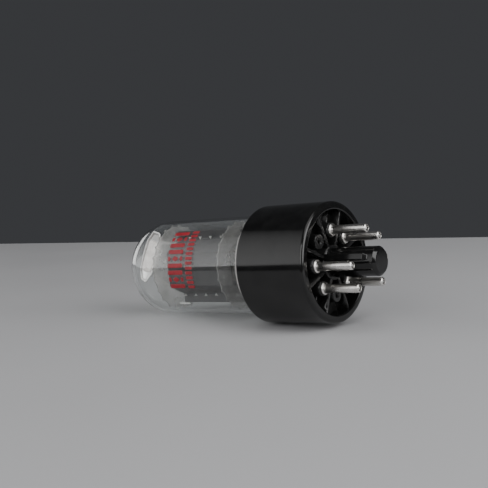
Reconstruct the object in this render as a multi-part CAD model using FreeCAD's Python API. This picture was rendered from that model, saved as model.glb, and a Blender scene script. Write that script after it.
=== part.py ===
import FreeCAD, Part
import math
import os

from FreeCAD import Vector

# An octal-base glass vacuum tube, a beam power tube for the output of a small audio amplifier,
# lying on its side. All sizes are in millimetres.
# Frame: +X runs along the tube's axis and points out of the base, along the pins.
# The origin is on the axis, in the plane of the base's rim, where the base seats on its socket.
# Angles round the axis are measured from +Y towards +Z.

# Base, one moulding
BASE_R = 16.4
BASE_LENGTH = 21.7
BASE_BORE_R = 14.3
RIM_BORE_R = 14.2
RIM_OUTER_ROUND = 1.0
RIM_INNER_ROUND = 0.35
SKIRT_EDGE_ROUND = 0.6
FLOOR_TOP_X = -4.6
FLOOR_THICKNESS = 1.6
BOSS_R = 2.15
BOSS_TOP_X = -0.9
HUB_R = 4.8
HUB_TOP_X = -0.7
RIB_THICKNESS = 1.1
RIB_TOP_X = -1.0
EMPTY_HOLE_R = 0.8

# Locating spigot with its key
SPIGOT_R = 3.95
SPIGOT_TIP_X = 13.6
SPIGOT_CHAMFER = 0.65
SPIGOT_BORE_R = 2.7
SPIGOT_END_WALL = 1.4
KEY_ANGLE = 157.5
KEY_R = 5.0
KEY_WIDTH = 1.8
KEY_TIP_X = 11.5
KEY_BEVEL = 1.0

# Pins, hollow and filled with solder at the tip
PIN_CIRCLE_R = 17.45 / 2
PIN_ANGLES = {"2": 90.0, "3": 45.0, "4": 0.0, "5": -45.0, "7": -135.0, "8": 180.0}
EMPTY_ANGLES = (135.0, -90.0)
PIN_R = 2.36 / 2
PIN_BORE_R = 0.72
PIN_TIP_X = 10.1
PIN_TIP_ROUND = 0.42
PIN_INNER_X = -7.2
PIN_COLLAR_R = 1.8
PIN_COLLAR_TOP_X = -0.3
SOLDER_LENGTH = 2.4
SOLDER_DIMPLE_R = 1.1
SOLDER_DIMPLE_DEPTH = 0.3

# Bulb: a straight glass cylinder with a dome of two tangent arcs
BULB_R = 13.9
BULB_WALL = 0.75
DOME_TIP_X = -71.2
DOME_CROWN_R = 14.5
DOME_SHOULDER_R = 9.0
BULB_TUCK_X = -15.6
BULB_SEAL_X = -12.0
BULB_SEAL_R = 11.6
SEAL_WALL = 1.1

# Cement between the bulb and the base, ending in a small fillet on the glass
CEMENT_START_X = -23.8
CEMENT_END_X = -16.2

# Stem: a flare, a short tube and a flat press that holds the leads
FLARE_RIM_LENGTH = 1.0
FLARE_NECK_X = -17.0
STEM_TUBE_R = 4.6
STEM_BORE_R = 3.5
PRESS_BOTTOM_X = -23.6
PRESS_TOP_X = -28.0
PRESS_WIDTH = 14.0
PRESS_THICKNESS = 3.6
PRESS_EDGE_ROUND = 0.8
EXHAUST_R = 1.7
EXHAUST_BORE_R = 1.0
EXHAUST_TIP_X = 5.5
EXHAUST_TAPER = 3.5
BLOW_HOLE_R = 0.5

# Leads, each one wire from its pin through the press
LEAD_R = 0.25
LEAD_IN_PIN_X = -5.0
LEAD_BEND_X = -8.6
LEAD_NECK_X = -16.6
LEAD_NECK_R = 2.6
LEAD_TOP_X = -28.8
LEAD_TOP_Z = {"2": 3.2, "3": 5.2, "4": 1.2, "5": -5.2, "7": -3.2, "8": -1.0}

# Mica spacers
MICA_R = 12.3
MICA_TOOTH_R = 12.9
MICA_TEETH = 24
MICA_THICKNESS = 0.35
BOTTOM_MICA_X = -31.3
TOP_MICA_X = -55.6
HOLE_PLAY = 0.05

# Anode: two pressed half shells joined along their flanges
ANODE_SHEET = 0.25
ANODE_START_X = TOP_MICA_X + MICA_THICKNESS
ANODE_END_X = BOTTOM_MICA_X
FLANGE_Z = 10.9
FLANGE_ROOT_Z = 8.0
STEP_Y = 1.0
FACE_Z = 5.0
FACE_Y = 6.0
CRIMP_Z = 8.9
CRIMP_HALF_WIDTH = 0.5
CRIMP_RISE = 0.85
CRIMP_HEAD = 0.3
CRIMP_START_X = -54.5
CRIMP_PITCH = 4.0
CRIMP_COUNT = 6
ANODE_ROD_Z = 7.2
ANODE_ROD_R = 0.5

# Beam plates, grids, cathode and heater
BEAM_PLATE_Z = 5.9
BEAM_PLATE_LIP_Z = 5.0
BEAM_PLATE_Y = 2.9
BEAM_PLATE_SHEET = 0.2
SCREEN_ROD_Z = 4.1
SCREEN_ROD_R = 0.35
CONTROL_ROD_Z = 2.7
CONTROL_ROD_R = 0.35
SCREEN_HALF_WIDTH = 1.7
CONTROL_HALF_WIDTH = 1.05
GRID_WIRE_R = 0.06
GRID_PITCH = 1.0
GRID_MARGIN = 1.2
CATHODE_HALF_Z = 1.5
CATHODE_HALF_Y = 0.6
CATHODE_WALL = 0.08
COATING = 0.08
HEATER_WIRE_R = 0.14
HEATER_PITCH = 0.46
HEATER_STRANDS = 4
ROD_TOP_X = -57.4
ROD_BOTTOM_X = -30.3
CATHODE_END_X = -30.7
HEATER_END_X = -30.0
TIE_R = 0.2
THIN_TIE_R = 0.12

# Cooling tabs on the control grid rods, above the top mica
TAB_X = (-60.6, -57.4)
TAB_WIDTH = 2.2
TAB_SHEET = 0.2

# Getter: a long channel pan held near the dome on two wires
PAN_CENTRE = Vector(-64.5, -4.2, 3.85)
PAN_LONG = Vector(0.34, 0.18, 0.92)
PAN_FACE = Vector(0.35, -0.93, -0.06)
PAN_LENGTH = 15.8
PAN_WIDTH = 4.9
PAN_END_WIDTH = 2.6
PAN_TAPER = 3.4
PAN_DEPTH = 1.1
PAN_WALL = 0.25
PAN_LIP = 0.45
FILL_LENGTH = 9.6
FILL_GAP = 0.1
FILL_TOP_GAP = 0.3
GETTER_POST_R = 0.3
POST_GRIP = 4.8

# Printed mark on the outside of the bulb: two rows of plain blocks running round it
PRINT_START_ANGLE = 127.0
PRINT_END_ANGLE = 201.0
PRINT_FILM = 0.03
PRINT_ROWS = ((-48.6, -43.0, 9), (-41.9, -39.4, 13))
PRINT_FILL = 0.64
DASH_ENDS_X = (-48.5, -44.5)
DASH_ANGLE = 223.0
DASH_WIDTH_ANGLE = 2.9

AXIS = Vector(1, 0, 0)
ORIGIN = Vector(0, 0, 0)
PARTS = {}


def at(x, radius, angle):
    """The point at a station x, a radius and an angle round the axis."""
    turn = math.radians(angle)
    return Vector(x, radius * math.cos(turn), radius * math.sin(turn))


def rod(start, end, radius):
    """A round rod between two points."""
    run = end - start
    return Part.makeCylinder(radius, run.Length, start, run)


def disc(x0, x1, radius, angle=0.0, circle_r=0.0):
    """A cylinder along the axis from x0 to x1, on a circle round the axis."""
    return Part.makeCylinder(radius, x1 - x0, at(x0, circle_r, angle), AXIS)


def wire_path(points, radius):
    """A bent round wire: a rod for each run and a ball at each bend."""
    pieces = [rod(a, b, radius) for a, b in zip(points, points[1:])]
    balls = [Part.makeSphere(radius, p) for p in points[1:-1]]
    return pieces[0].multiFuse(pieces[1:] + balls).removeSplitter()


def lathe(edges):
    """A closed outline of edges in the XY plane, turned about the axis."""
    face = Part.Face(Part.Wire(Part.__sortEdges__(edges)))
    return face.revolve(ORIGIN, AXIS, 360)


def outline(points):
    """Straight edges through (x, r) points, closed."""
    corners = [Vector(x, r, 0) for x, r in points]
    return [Part.makeLine(a, b) for a, b in zip(corners, corners[1:] + corners[:1])]


def turned(points):
    """A turned solid from (x, r) corners."""
    return lathe(outline(points))


def group(solids):
    """Separate solids kept in one node."""
    return Part.makeCompound(solids)


def strip(path, thickness, x0, x1):
    """A bent sheet: a (z, y) path thickened to one side and extruded along the axis."""
    offset = []
    for i, (z, y) in enumerate(path):
        before = path[max(i - 1, 0)]
        after = path[min(i + 1, len(path) - 1)]
        first = normal_of(before, path[i]) if i > 0 else normal_of(path[i], after)
        second = normal_of(path[i], after) if i < len(path) - 1 else first
        mid = (first[0] + second[0], first[1] + second[1])
        scale = 2 * thickness / (mid[0] ** 2 + mid[1] ** 2)
        offset.append((z + mid[0] * scale, y + mid[1] * scale))
    corners = [Vector(x0, y, z) for z, y in path + offset[::-1]]
    face = Part.Face(Part.makePolygon(corners + corners[:1]))
    return face.extrude(Vector(x1 - x0, 0, 0))


def normal_of(a, b):
    """The unit normal to the left of the run from a to b, in the (z, y) plane."""
    dz = b[0] - a[0]
    dy = b[1] - a[1]
    size = math.hypot(dz, dy)
    return (-dy / size, dz / size)


def dome_edges(tip_x, tube_r, shoulder_r, crown_r):
    """Crown and shoulder arcs of a dome, and the point where it meets the straight tube."""
    rise = tube_r - shoulder_r
    run = math.sqrt((crown_r - shoulder_r) ** 2 - rise ** 2)
    crown_x = tip_x + crown_r
    shoulder_x = crown_x - run
    tangent = math.atan2(rise, run)

    def crown(turn):
        return Vector(crown_x - crown_r * math.cos(turn), crown_r * math.sin(turn), 0)

    def shoulder(turn):
        return Vector(shoulder_x - shoulder_r * math.cos(turn), rise + shoulder_r * math.sin(turn), 0)

    top = Part.Arc(crown(0), crown(tangent / 2), crown(tangent)).toShape()
    middle = (tangent + math.pi / 2) / 2
    side = Part.Arc(shoulder(tangent), shoulder(middle), shoulder(math.pi / 2)).toShape()
    return [top, side], Vector(shoulder_x, tube_r, 0)


def make_bulb():
    """A glass shell: dome, straight tube, and a tucked-in end that is sealed to the stem."""
    outer, outer_start = dome_edges(DOME_TIP_X, BULB_R, DOME_SHOULDER_R, DOME_CROWN_R)
    inner, inner_start = dome_edges(DOME_TIP_X + BULB_WALL, BULB_R - BULB_WALL,
                                    DOME_SHOULDER_R - BULB_WALL, DOME_CROWN_R - BULB_WALL)
    outer_tuck = Vector(BULB_TUCK_X, BULB_R, 0)
    inner_tuck = Vector(BULB_TUCK_X, BULB_R - BULB_WALL, 0)
    outer_seal = Vector(BULB_SEAL_X, BULB_SEAL_R, 0)
    inner_seal = Vector(BULB_SEAL_X, BULB_SEAL_R - SEAL_WALL, 0)
    bulge = Vector(0.9, 0.45, 0)
    edges = outer + inner
    edges.append(Part.makeLine(outer_start, outer_tuck))
    edges.append(Part.Arc(outer_tuck, (outer_tuck + outer_seal) / 2 + bulge, outer_seal).toShape())
    edges.append(Part.makeLine(outer_seal, inner_seal))
    edges.append(Part.Arc(inner_seal, (inner_tuck + inner_seal) / 2 + bulge, inner_tuck).toShape())
    edges.append(Part.makeLine(inner_tuck, inner_start))
    edges.append(Part.makeLine(Vector(DOME_TIP_X, 0, 0), Vector(DOME_TIP_X + BULB_WALL, 0, 0)))
    return lathe(edges)


def make_base():
    """The moulded base: skirt, floor, bosses, ribs, round hub, and the keyed spigot."""
    skirt = disc(-BASE_LENGTH, 0, BASE_R)
    skirt = skirt.makeFillet(RIM_OUTER_ROUND, circles_at(skirt, 0, BASE_R))
    skirt = skirt.makeFillet(SKIRT_EDGE_ROUND, circles_at(skirt, -BASE_LENGTH, BASE_R))
    floor_bottom = FLOOR_TOP_X - FLOOR_THICKNESS
    skirt = skirt.cut(disc(-BASE_LENGTH - 1, floor_bottom, BASE_BORE_R))
    skirt = skirt.cut(disc(FLOOR_TOP_X, 1, RIM_BORE_R))
    skirt = skirt.makeFillet(RIM_INNER_ROUND, circles_at(skirt, 0, RIM_BORE_R))

    features = [disc(FLOOR_TOP_X, HUB_TOP_X, HUB_R), make_spigot()]
    for k in range(8):
        angle = 45.0 * k
        features.append(disc(FLOOR_TOP_X, BOSS_TOP_X, BOSS_R, angle, PIN_CIRCLE_R))
        features.append(make_rib(angle + 22.5))

    body = skirt.multiFuse(features)
    holes = [disc(floor_bottom - 1, BOSS_TOP_X + 1, PIN_R, a, PIN_CIRCLE_R) for a in PIN_ANGLES.values()]
    holes += [disc(floor_bottom - 1, BOSS_TOP_X + 1, EMPTY_HOLE_R, a, PIN_CIRCLE_R) for a in EMPTY_ANGLES]
    holes.append(disc(floor_bottom - 1, SPIGOT_TIP_X - SPIGOT_END_WALL, SPIGOT_BORE_R))
    return body.cut(holes[0].multiFuse(holes[1:])).removeSplitter()


def circles_at(shape, x, radius):
    """The full circular edges of a shape at a station and a radius."""
    found = []
    for edge in shape.Edges:
        curve = edge.Curve
        if isinstance(curve, Part.Circle) and abs(curve.Radius - radius) < 1e-4:
            if abs(curve.Center.x - x) < 1e-4:
                found.append(edge)
    return found


def make_rib(angle):
    """A thin radial rib on the floor, from the hub to the skirt."""
    start = SPIGOT_R
    length = RIM_BORE_R + 0.5 - start
    rib = Part.makeBox(RIB_TOP_X - FLOOR_TOP_X, length, RIB_THICKNESS,
                       Vector(FLOOR_TOP_X, start, -RIB_THICKNESS / 2))
    rib.rotate(ORIGIN, AXIS, angle)
    return rib


def make_spigot():
    """The round locating spigot with a chamfered tip and a bevelled key along one side."""
    start = FLOOR_TOP_X
    post = turned([(start, 0), (start, SPIGOT_R), (SPIGOT_TIP_X - SPIGOT_CHAMFER, SPIGOT_R),
                   (SPIGOT_TIP_X, SPIGOT_R - SPIGOT_CHAMFER), (SPIGOT_TIP_X, 0)])
    side = [(start, 0), (start, KEY_R), (KEY_TIP_X - KEY_BEVEL, KEY_R),
            (KEY_TIP_X, KEY_R - KEY_BEVEL), (KEY_TIP_X, 0)]
    corners = [Vector(x, y, -KEY_WIDTH / 2) for x, y in side]
    key = Part.Face(Part.makePolygon(corners + corners[:1])).extrude(Vector(0, 0, KEY_WIDTH))
    key.rotate(ORIGIN, AXIS, KEY_ANGLE)
    return post.fuse(key)


def make_pin(angle):
    """A drawn hollow pin with a rolled collar that seats on its boss."""
    tip = PIN_TIP_X - PIN_TIP_ROUND
    round_mid = PIN_TIP_ROUND * math.sqrt(0.5)
    edges = [Part.makeLine(Vector(PIN_INNER_X, PIN_BORE_R, 0), Vector(PIN_INNER_X, PIN_R, 0)),
             Part.makeLine(Vector(PIN_INNER_X, PIN_R, 0), Vector(BOSS_TOP_X, PIN_R, 0)),
             Part.makeLine(Vector(BOSS_TOP_X, PIN_R, 0), Vector(BOSS_TOP_X, PIN_COLLAR_R, 0)),
             Part.Arc(Vector(BOSS_TOP_X, PIN_COLLAR_R, 0),
                      Vector(BOSS_TOP_X + 0.36, PIN_COLLAR_R - 0.10, 0),
                      Vector(PIN_COLLAR_TOP_X, PIN_R, 0)).toShape(),
             Part.makeLine(Vector(PIN_COLLAR_TOP_X, PIN_R, 0), Vector(tip, PIN_R, 0)),
             Part.Arc(Vector(tip, PIN_R, 0),
                      Vector(tip + round_mid, PIN_R - PIN_TIP_ROUND + round_mid, 0),
                      Vector(PIN_TIP_X, PIN_R - PIN_TIP_ROUND, 0)).toShape(),
             Part.makeLine(Vector(PIN_TIP_X, PIN_R - PIN_TIP_ROUND, 0), Vector(PIN_TIP_X, PIN_BORE_R, 0)),
             Part.makeLine(Vector(PIN_TIP_X, PIN_BORE_R, 0), Vector(PIN_INNER_X, PIN_BORE_R, 0))]
    pin = lathe(edges)
    pin.translate(at(0, PIN_CIRCLE_R, angle))
    return pin


def make_solder(angle):
    """The solder plug in a pin's tip, dished at its outer end."""
    plug = disc(PIN_TIP_X - SOLDER_LENGTH, PIN_TIP_X, PIN_BORE_R, angle, PIN_CIRCLE_R)
    dimple = Part.makeSphere(SOLDER_DIMPLE_R, at(PIN_TIP_X - SOLDER_DIMPLE_DEPTH + SOLDER_DIMPLE_R,
                                                 PIN_CIRCLE_R, angle))
    return plug.cut(dimple)


def make_leads():
    """One wire for each pin, from inside the pin through the stem to the top of the press."""
    leads = {}
    for name, angle in PIN_ANGLES.items():
        points = [at(LEAD_IN_PIN_X, PIN_CIRCLE_R, angle), at(LEAD_BEND_X, PIN_CIRCLE_R, angle),
                  at(LEAD_NECK_X, LEAD_NECK_R, angle), at(PRESS_BOTTOM_X - 0.5, LEAD_NECK_R, angle),
                  Vector(PRESS_TOP_X + 0.5, 0, LEAD_TOP_Z[name]), Vector(LEAD_TOP_X, 0, LEAD_TOP_Z[name])]
        leads[name] = wire_path(points, LEAD_R)
    return leads


def make_stem(leads):
    """The glass stem: flare, tube and press, with the leads sealed through the press."""
    seal_bottom = BULB_SEAL_X + FLARE_RIM_LENGTH
    rim_inner_r = BULB_SEAL_R - SEAL_WALL
    air_rim = Vector(seal_bottom, rim_inner_r, 0)
    air_neck = Vector(FLARE_NECK_X, STEM_BORE_R, 0)
    vacuum_rim = Vector(BULB_SEAL_X, rim_inner_r, 0)
    vacuum_neck = Vector(FLARE_NECK_X - 1.0, STEM_TUBE_R, 0)
    sag = Vector(1.6, -1.0, 0)
    edges = [Part.makeLine(vacuum_rim, Vector(BULB_SEAL_X, BULB_SEAL_R, 0)),
             Part.makeLine(Vector(BULB_SEAL_X, BULB_SEAL_R, 0), Vector(seal_bottom, BULB_SEAL_R - 0.4, 0)),
             Part.makeLine(Vector(seal_bottom, BULB_SEAL_R - 0.4, 0), air_rim),
             Part.Arc(air_rim, (air_rim + air_neck) / 2 + sag, air_neck).toShape(),
             Part.makeLine(air_neck, Vector(PRESS_BOTTOM_X, STEM_BORE_R, 0)),
             Part.makeLine(Vector(PRESS_BOTTOM_X, STEM_BORE_R, 0), Vector(PRESS_BOTTOM_X, STEM_TUBE_R, 0)),
             Part.makeLine(Vector(PRESS_BOTTOM_X, STEM_TUBE_R, 0), vacuum_neck),
             Part.Arc(vacuum_neck, (vacuum_neck + vacuum_rim) / 2 + sag, vacuum_rim).toShape()]
    flare = lathe(edges)
    press = Part.makeBox(PRESS_BOTTOM_X - PRESS_TOP_X, PRESS_THICKNESS, PRESS_WIDTH,
                         Vector(PRESS_TOP_X, -PRESS_THICKNESS / 2, -PRESS_WIDTH / 2))
    along = [e for e in press.Edges if abs(e.tangentAt(e.FirstParameter).x) > 0.9]
    press = press.makeFillet(PRESS_EDGE_ROUND, along)
    plug = disc(PRESS_BOTTOM_X - 1.2, PRESS_BOTTOM_X, STEM_TUBE_R)
    blow_hole = rod(Vector(PRESS_BOTTOM_X + 0.5, 0, 0), Vector(PRESS_BOTTOM_X - 2.2, 3.4, 0), BLOW_HOLE_R)
    stem = flare.multiFuse([press, plug]).cut(blow_hole)
    for lead in leads.values():
        stem = stem.cut(lead)
    return stem.removeSplitter()


def make_exhaust_tube():
    """The sealed-off exhaust tube, drawn to a closed point inside the spigot."""
    shoulder = EXHAUST_TIP_X - EXHAUST_TAPER
    return turned([(PRESS_BOTTOM_X, EXHAUST_BORE_R), (PRESS_BOTTOM_X, EXHAUST_R), (shoulder, EXHAUST_R),
                   (EXHAUST_TIP_X - 0.6, 0.7), (EXHAUST_TIP_X, 0.25), (EXHAUST_TIP_X, 0),
                   (EXHAUST_TIP_X - 1.6, 0), (shoulder, EXHAUST_BORE_R)])


def make_mica(x, rods):
    """A toothed mica disc, with a clear hole for each rod and for the cathode."""
    points = []
    for k in range(MICA_TEETH):
        step = 360.0 / MICA_TEETH
        points.append(at(x, MICA_R, k * step))
        points.append(at(x, MICA_R, (k + 0.55) * step))
        points.append(at(x, MICA_TOOTH_R, (k + 0.775) * step))
    plate = Part.Face(Part.makePolygon(points + points[:1])).extrude(AXIS * MICA_THICKNESS)
    holes = [disc(x - 1, x + 1, r + HOLE_PLAY, 90.0, z) for z, r in rods]
    holes.append(oval_bar(x - 1, x + 1, CATHODE_HALF_Z + HOLE_PLAY, CATHODE_HALF_Y + HOLE_PLAY))
    return plate.cut(holes[0].multiFuse(holes[1:]))


def oval_bar(x0, x1, half_z, half_y):
    """A bar with a flat-sided oval section, long along Z."""
    side = half_z - half_y
    ends = [disc(x0, x1, half_y, 90.0, side), disc(x0, x1, half_y, 90.0, -side)]
    web = Part.makeBox(x1 - x0, 2 * half_y, 2 * side, Vector(x0, -half_y, -side))
    return ends[0].multiFuse([ends[1], web]).removeSplitter()


def make_anode_half(facing, crimps):
    """A pressed half shell; facing is -1 for the half on the -Y side and +1 for the other."""
    half = [(FLANGE_Z, 0), (FLANGE_ROOT_Z, 0), (FLANGE_ROOT_Z - 0.3, -STEP_Y), (FACE_Z, -FACE_Y)]
    path = half + [(-z, y) for z, y in half[::-1]]
    sheet = strip(path[::-1], -ANODE_SHEET, ANODE_START_X, ANODE_END_X)
    if facing > 0:
        sheet = sheet.mirror(ORIGIN, Vector(0, 1, 0))
    for crimp in crimps:
        sheet = sheet.cut(crimp)
    return sheet


def make_crimps():
    """Small three-cornered crimps through both flanges, standing a little proud on either side."""
    crimps = []
    reach = ANODE_SHEET + CRIMP_HEAD
    for side in (-1, 1):
        for k in range(CRIMP_COUNT):
            x = CRIMP_START_X + k * CRIMP_PITCH
            root = side * CRIMP_Z
            corners = [Vector(x - CRIMP_HALF_WIDTH, -reach, root), Vector(x + CRIMP_HALF_WIDTH, -reach, root),
                       Vector(x, -reach, root - side * CRIMP_RISE)]
            face = Part.Face(Part.makePolygon(corners + corners[:1]))
            crimps.append(face.extrude(Vector(0, 2 * reach, 0)))
    return crimps


def make_beam_plate(side):
    """A channel-shaped beam plate; side is +1 or -1 along Z."""
    path = [(BEAM_PLATE_LIP_Z, -BEAM_PLATE_Y), (BEAM_PLATE_Z, -BEAM_PLATE_Y + 0.6),
            (BEAM_PLATE_Z, BEAM_PLATE_Y - 0.6), (BEAM_PLATE_LIP_Z, BEAM_PLATE_Y)]
    path = [(side * z, y) for z, y in path]
    return strip(path, -side * BEAM_PLATE_SHEET, ANODE_START_X, ANODE_END_X)


def rod_pair(z, radius, top_x=ROD_TOP_X):
    """Two rods at +z and -z that run through both micas."""
    return [disc(top_x, ROD_BOTTOM_X, radius, 90.0, z), disc(top_x, ROD_BOTTOM_X, radius, 90.0, -z)]


def make_grid_winding(rod_z, rod_r, half_width):
    """Oval turns of fine wire round a pair of rods, one every pitch."""
    end_z = rod_z + rod_r + GRID_WIRE_R
    bend_z = end_z - half_width
    turns = []
    x = ANODE_START_X + GRID_MARGIN
    while x < ANODE_END_X - GRID_MARGIN:
        pieces = []
        for side in (-1, 1):
            pieces.append(rod(Vector(x, side * half_width, -bend_z), Vector(x, side * half_width, bend_z),
                              GRID_WIRE_R))
            bend = Part.makeTorus(half_width, GRID_WIRE_R, ORIGIN, AXIS, -180, 180, 180)
            bend.rotate(ORIGIN, AXIS, first_turn(bend, side))
            bend.translate(Vector(x, 0, side * bend_z))
            pieces.append(bend)
        turns.append(pieces[0].multiFuse(pieces[1:]).removeSplitter())
        x += GRID_PITCH
    return turns


def first_turn(bend, side):
    """The rotation that points a half ring's open side at the axis, towards -side along Z."""
    middle = math.degrees(math.atan2(bend.CenterOfMass.z, bend.CenterOfMass.y))
    return side * 90.0 - middle


def make_cathode():
    """The flat-sided nickel cathode sleeve and the oxide coating round it."""
    sleeve_outer = oval_bar(ROD_TOP_X + 0.6, CATHODE_END_X, CATHODE_HALF_Z, CATHODE_HALF_Y)
    bore = oval_bar(ROD_TOP_X, ROD_BOTTOM_X, CATHODE_HALF_Z - CATHODE_WALL, CATHODE_HALF_Y - CATHODE_WALL)
    start = ANODE_START_X + GRID_MARGIN
    end = ANODE_END_X - GRID_MARGIN
    coat_outer = oval_bar(start, end, CATHODE_HALF_Z + COATING, CATHODE_HALF_Y + COATING)
    coat_inner = oval_bar(start - 1, end + 1, CATHODE_HALF_Z, CATHODE_HALF_Y)
    return sleeve_outer.cut(bore), coat_outer.cut(coat_inner)


def make_heater():
    """A coated heater wire folded up and down inside the cathode sleeve."""
    top = ROD_TOP_X + 1.2
    bottom = BOTTOM_MICA_X - 0.4
    first_z = HEATER_PITCH * (HEATER_STRANDS - 1) / 2
    points = [Vector(HEATER_END_X, 0, first_z)]
    for k in range(HEATER_STRANDS):
        z = first_z - k * HEATER_PITCH
        ends = (bottom, top) if k % 2 == 0 else (top, bottom)
        points += [Vector(ends[0], 0, z), Vector(ends[1], 0, z)] if k > 0 else [Vector(top, 0, z)]
    points[-1] = Vector(HEATER_END_X, 0, -first_z)
    return wire_path(points, HEATER_WIRE_R)


def make_tie(lead, detour_y, electrode_z, electrode_x=ROD_BOTTOM_X, radius=TIE_R):
    """A wire from a lead's top to an electrode's end, stepping aside to clear its neighbours."""
    z = LEAD_TOP_Z[lead]
    level = (LEAD_TOP_X + electrode_x) / 2
    return wire_path([Vector(LEAD_TOP_X, 0, z), Vector(LEAD_TOP_X - radius, 0, z),
                      Vector(level, detour_y, z), Vector(level, detour_y, electrode_z),
                      Vector(electrode_x + radius, 0, electrode_z), Vector(electrode_x, 0, electrode_z)],
                     radius)


def make_ties():
    """Short wires that join the leads on the press to the electrodes above them."""
    heater_z = HEATER_PITCH * (HEATER_STRANDS - 1) / 2
    return {
        "anode_tie": make_tie("3", 0.3, ANODE_ROD_Z),
        "screen_grid_tie": make_tie("4", 1.4, SCREEN_ROD_Z),
        "control_grid_tie": make_tie("5", -1.4, -CONTROL_ROD_Z),
        "cathode_tie": make_tie("8", -0.4, CATHODE_WALL / 2 - CATHODE_HALF_Z, CATHODE_END_X, THIN_TIE_R),
        "heater_ties": group([make_tie("2", -0.9, heater_z, HEATER_END_X, THIN_TIE_R),
                              make_tie("7", 0.9, -heater_z, HEATER_END_X, THIN_TIE_R)]),
    }


def make_cooling_tabs():
    """Two flat radiating tabs on the ends of the control grid rods."""
    tabs = []
    for side in (-1, 1):
        z = side * CONTROL_ROD_Z
        tab = Part.makeBox(TAB_X[1] - TAB_X[0], TAB_SHEET, TAB_WIDTH,
                           Vector(TAB_X[0], -TAB_SHEET / 2, z - TAB_WIDTH / 2))
        tabs.append(tab)
    return group(tabs)


def pan_placement():
    """The placement that lays the pan's own X along its length and its own Z out of its face."""
    long_way = Vector(PAN_LONG).normalize()
    face = Vector(PAN_FACE)
    face = (face - long_way * face.dot(long_way)).normalize()
    across = face.cross(long_way)
    turn = FreeCAD.Rotation(long_way, across, face, "ZXY")
    return FreeCAD.Placement(PAN_CENTRE, turn)


def boat_slab(inset, z0, z1, length=PAN_LENGTH):
    """A slab with the pan's outline, full width in its middle and tapered to both ends, set in all round."""
    a = length / 2 - inset
    b = PAN_WIDTH / 2 - inset
    end = PAN_END_WIDTH / 2 - inset
    shoulder = PAN_LENGTH / 2 - PAN_TAPER
    if a > shoulder:
        points = [(-a, -end), (-shoulder, -b), (shoulder, -b), (a, -end),
                  (a, end), (shoulder, b), (-shoulder, b), (-a, end)]
    else:
        points = [(-a, -b), (a, -b), (a, b), (-a, b)]
    corners = [Vector(x, y, z0) for x, y in points]
    return Part.Face(Part.makePolygon(corners + corners[:1])).extrude(Vector(0, 0, z1 - z0))


def make_getter():
    """The getter pan with a turned-out lip, and the pressed fill along the middle of its floor."""
    lip = boat_slab(0, -PAN_WALL, 0)
    well = boat_slab(PAN_LIP, -PAN_DEPTH, 0)
    hollow = boat_slab(PAN_LIP + PAN_WALL, PAN_WALL - PAN_DEPTH, 1)
    pan = lip.fuse(well).cut(hollow).removeSplitter()
    fill_inset = PAN_LIP + PAN_WALL + FILL_GAP
    fill = boat_slab(fill_inset, PAN_WALL - PAN_DEPTH, -FILL_TOP_GAP, FILL_LENGTH + 2 * fill_inset)
    placement = pan_placement()
    for piece in (pan, fill):
        piece.Placement = placement
    return pan, fill


def make_getter_posts():
    """Two wires that carry the pan, from the top mica to the pan's back."""
    placement = pan_placement()
    posts = []
    for along, z in ((POST_GRIP, ANODE_ROD_Z), (-POST_GRIP, -ANODE_ROD_Z)):
        back = placement.multVec(Vector(along, 0, -PAN_DEPTH - GETTER_POST_R))
        knee = Vector(ROD_TOP_X - 1.2, 0, z)
        posts.append(wire_path([Vector(ROD_TOP_X, 0, z), knee, back], GETTER_POST_R))
    return group(posts)


def ink_film(x0, x1, angle, width_angle):
    """A thin film of ink on the glass, from x0 to x1 and round from an angle."""
    outer_r = BULB_R + PRINT_FILM
    edges = outline([(x0, BULB_R), (x1, BULB_R), (x1, outer_r), (x0, outer_r)])
    film = Part.Face(Part.Wire(edges)).revolve(ORIGIN, AXIS, width_angle)
    film.rotate(ORIGIN, AXIS, angle)
    return film


def make_printed_mark():
    """Two rows of ink blocks, evenly spaced round the side of the bulb."""
    films = []
    for x0, x1, count in PRINT_ROWS:
        step = (PRINT_END_ANGLE - PRINT_START_ANGLE) / count
        films += [ink_film(x0, x1, PRINT_START_ANGLE + k * step, step * PRINT_FILL) for k in range(count)]
    return group(films)


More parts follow.
